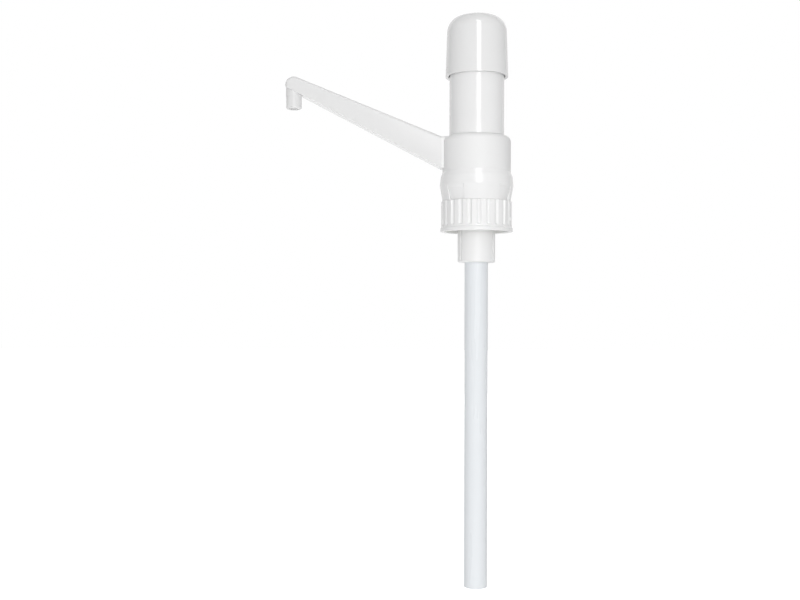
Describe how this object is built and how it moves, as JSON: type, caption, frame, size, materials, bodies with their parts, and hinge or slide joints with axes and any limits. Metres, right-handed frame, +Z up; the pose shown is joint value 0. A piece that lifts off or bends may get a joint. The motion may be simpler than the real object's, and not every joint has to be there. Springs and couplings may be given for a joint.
{
  "type": "canister dispensing pump",
  "caption": "Hand pump for a canister: a domed cap pushes a spring-returned piston, a dip tube draws the liquid up and a swivelling sloped spout pours it out; a ribbed collar screws it on.",
  "frame": {"origin": "on the pump's axis, on the lower face of the gasket, which seals on the canister's rim", "axes": "+Z up along the pump's axis, -X along the spout, -Y towards the viewer of the picture"},
  "size_m": [0.1844, 0.0594, 0.4617],
  "materials": {
    "white_plastic": "satin moulded polypropylene",
    "inner_plastic": "satin moulded polypropylene",
    "natural_tube": "natural extruded polyethylene",
    "seal_rubber": "matt",
    "gasket_foam": "matt pale foam",
    "silicone": "matt translucent",
    "stainless": "drawn and polished"
  },
  "bodies": {
    "collar": {"screw_collar": "white_plastic", "canister_gasket": "gasket_foam"},
    "head": {"spout_head": "white_plastic", "clip_ring": "white_plastic", "pump_barrel": "inner_plastic", "barrel_seal": "seal_rubber", "rod_guide": "inner_plastic", "tube_holder": "inner_plastic", "holder_seal": "seal_rubber", "valve_cage": "inner_plastic", "dip_tube": "natural_tube", "spout_arm": "white_plastic", "outlet_seat": "inner_plastic", "return_spring": "stainless"},
    "plunger": {"press_cap": "white_plastic", "plunger_rod": "inner_plastic", "piston": "inner_plastic", "piston_seal": "seal_rubber", "piston_screw": "stainless"},
    "inlet_valve": {"inlet_ball": "stainless"},
    "outlet_valve": {"outlet_flap": "silicone"}
  },
  "joints": [
    {"name": "head_swivel", "type": "hinge", "parent": "collar", "child": "head", "pos_m": [0, 0, 0], "axis": [0, 0, 1], "continuous": true},
    {"name": "cap_press", "type": "slide", "parent": "head", "child": "plunger", "axis": [0, 0, -1], "range_m": [0, 0.036], "stiffness_N_per_m": 300, "springref_m": -0.015, "deforming": ["return_spring"]},
    {"name": "inlet_lift", "type": "slide", "parent": "head", "child": "inlet_valve", "axis": [0, 0, 1], "range_m": [0, 0.004]},
    {"name": "outlet_swing", "type": "hinge", "parent": "head", "child": "outlet_valve", "pos_m": [-0.0254, 0, 0.0516], "axis": [0, 1, 0], "range_deg": [0, 30]}
  ]
}
